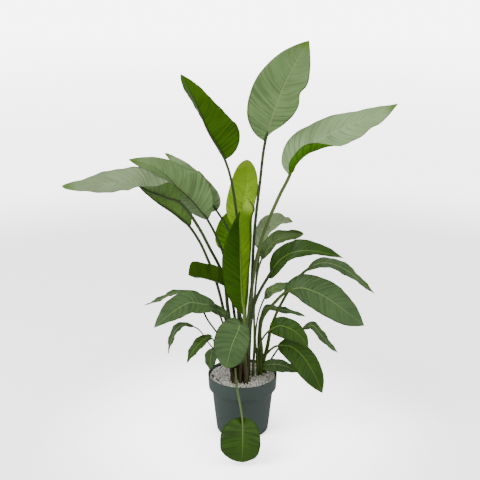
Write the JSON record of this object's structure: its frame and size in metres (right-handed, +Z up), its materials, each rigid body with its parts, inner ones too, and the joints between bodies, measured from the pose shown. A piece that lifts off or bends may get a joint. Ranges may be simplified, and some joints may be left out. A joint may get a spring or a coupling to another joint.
{
  "type": "potted bird of paradise plant",
  "caption": "Bird of paradise house plant: long-stalked broad pointed leaves fanning from one clump in a round dark green nursery pot topped with pale gravel.",
  "frame": {"origin": "middle of the pot's flat underside, on the surface that the pot stands on", "axes": "+Z up along the pot's axis; -Y towards the front, where the lowest leaf hangs over the rim; +X to the right seen from the front"},
  "size_m": [1.05, 0.4429, 1.355],
  "materials": {
    "pot": "satin, slightly scuffed",
    "soil": "matt, crumbly",
    "gravel": "matt, chalky",
    "leaf": "leathery, soft waxy sheen",
    "young_leaf": "tender, soft sheen"
  },
  "bodies": {
    "root": {"pot": "pot", "soil": "soil", "gravel": "gravel", "leaf_top": "leaf", "leaf_top_left": "leaf", "leaf_top_right": "leaf", "leaf_long_left": "leaf", "leaf_under_long_left": "leaf", "leaf_broad_left": "leaf", "leaf_behind_broad_left": "leaf", "leaf_back_upright": "young_leaf", "leaf_back_left": "leaf", "leaf_middle_upright": "leaf", "leaf_rolled": "young_leaf", "leaf_level_left": "leaf", "leaf_torn_right": "leaf", "leaf_curled_right": "leaf", "leaf_arched_right": "leaf", "leaf_drooping_right": "leaf", "leaf_broad_right": "leaf", "leaf_short_right": "leaf", "leaf_slim_right": "leaf", "leaf_low_right_upper": "leaf", "leaf_low_right_lower": "leaf", "leaf_small_right": "leaf", "leaf_low_right_level": "leaf", "leaf_slim_left": "leaf", "leaf_drooping_left": "leaf", "leaf_inner_left": "leaf", "leaf_small_left_outer": "leaf", "leaf_small_left_inner": "leaf", "leaf_front": "leaf", "leaf_front_low": "leaf", "leaf_front_left": "leaf"}
  },
  "joints": []
}
